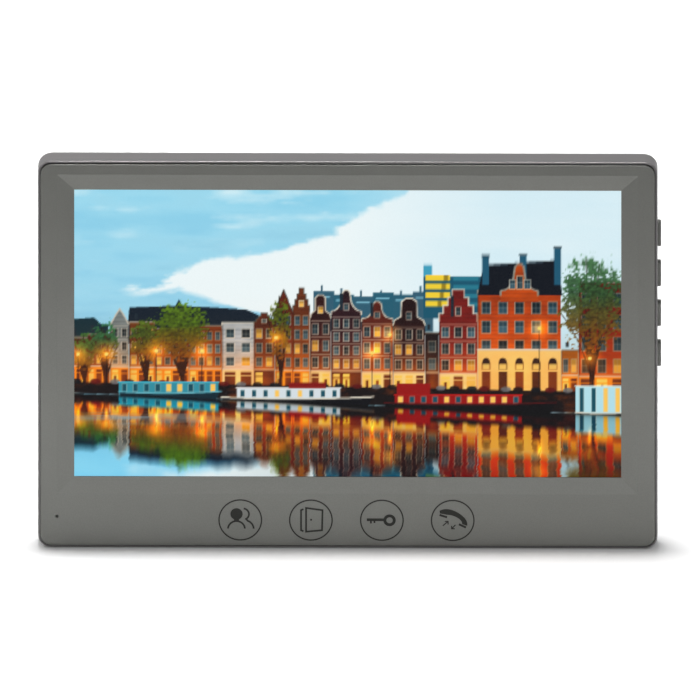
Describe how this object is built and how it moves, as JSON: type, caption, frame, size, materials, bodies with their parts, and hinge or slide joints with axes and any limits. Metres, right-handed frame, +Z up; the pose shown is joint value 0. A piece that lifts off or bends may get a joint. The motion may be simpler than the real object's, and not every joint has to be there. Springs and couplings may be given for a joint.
{
  "type": "video intercom monitor",
  "caption": "Slim wall-mounted video door intercom monitor with a wide screen, ringed touch keys, side push buttons and a hook-on wall bracket.",
  "frame": {"origin": "on the wall plane, in the middle of the wall bracket's four corner screw holes", "axes": "+Z up, -Y out of the wall towards the viewer, +X to the viewer's right"},
  "size_m": [0.176, 0.0211, 0.116],
  "materials": {
    "graphite_paint": "satin metallic coating on moulded plastic",
    "shell_plastic": "fine texture",
    "key_print": "screen print",
    "screen_glass": "anti-glare, lit picture",
    "sheet_steel": "bright zinc",
    "bracket_steel": "black coating",
    "white_plastic": "moulded",
    "black_foam": "foam",
    "black_rubber": "soft",
    "flex_film": "polyimide film",
    "circuit_board": "solder mask",
    "chip_plastic": "moulded",
    "ferrite": "matt",
    "capacitor_can": "drawn",
    "brass": "turned",
    "tin_plate": "tin plated",
    "socket_plastic": "natural nylon",
    "speaker_metal": "pressed",
    "speaker_paper": "pressed pulp",
    "magnet": "sintered",
    "wire_jacket": "vinyl",
    "screw_steel": "plated",
    "label_paper": "satin film"
  },
  "bodies": {
    "bracket": {"wall_bracket": "bracket_steel"},
    "housing": {"front_cover": "graphite_paint", "rear_cover": "shell_plastic", "mark_people": "key_print", "mark_door": "key_print", "mark_key": "key_print", "mark_talk": "key_print", "lcd_glass": "screen_glass", "lcd_frame": "sheet_steel", "lcd_backlight": "white_plastic", "lcd_back_plate": "sheet_steel", "lcd_seal": "black_foam", "lcd_flex": "flex_film", "chassis_plate": "sheet_steel", "board_standoffs": "brass", "main_board": "circuit_board", "main_chips": "chip_plastic", "power_inductors": "ferrite", "board_capacitors": "capacitor_can", "board_plugs": "white_plastic", "flex_sockets": "socket_plastic", "cable_sockets": "socket_plastic", "socket_pins": "tin_plate", "touch_board": "circuit_board", "touch_pads": "black_foam", "touch_chips": "chip_plastic", "touch_cable": "flex_film", "microphone_boot": "black_rubber", "microphone": "capacitor_can", "side_key_board": "circuit_board", "switch_housings": "chip_plastic", "speaker_gasket": "black_foam", "speaker_frame": "speaker_metal", "speaker_cone": "speaker_paper", "speaker_magnet": "magnet", "speaker_wires": "wire_jacket", "microphone_wires": "wire_jacket", "side_key_wires": "wire_jacket", "case_screws": "screw_steel", "chassis_screws": "screw_steel", "board_screws": "screw_steel", "touch_screws": "screw_steel", "speaker_screws": "screw_steel", "rubber_pads": "black_rubber", "rating_label": "label_paper"},
    "button_1": {"side_button_1": "graphite_paint", "switch_plunger_1": "white_plastic"},
    "button_2": {"side_button_2": "graphite_paint", "switch_plunger_2": "white_plastic"},
    "button_3": {"side_button_3": "graphite_paint", "switch_plunger_3": "white_plastic"},
    "button_4": {"side_button_4": "graphite_paint", "switch_plunger_4": "white_plastic"}
  },
  "joints": [
    {"name": "lift_off_bracket", "type": "slide", "parent": "bracket", "child": "housing", "axis": [0, 0, 1], "range_m": [0, 0.006]},
    {"name": "press_button_1", "type": "slide", "parent": "housing", "child": "button_1", "axis": [-1, 0, 0], "range_m": [0, 0.0005], "stiffness_N_per_m": 1500},
    {"name": "press_button_2", "type": "slide", "parent": "housing", "child": "button_2", "axis": [-1, 0, 0], "range_m": [0, 0.0005], "stiffness_N_per_m": 1500},
    {"name": "press_button_3", "type": "slide", "parent": "housing", "child": "button_3", "axis": [-1, 0, 0], "range_m": [0, 0.0005], "stiffness_N_per_m": 1500},
    {"name": "press_button_4", "type": "slide", "parent": "housing", "child": "button_4", "axis": [-1, 0, 0], "range_m": [0, 0.0005], "stiffness_N_per_m": 1500}
  ]
}
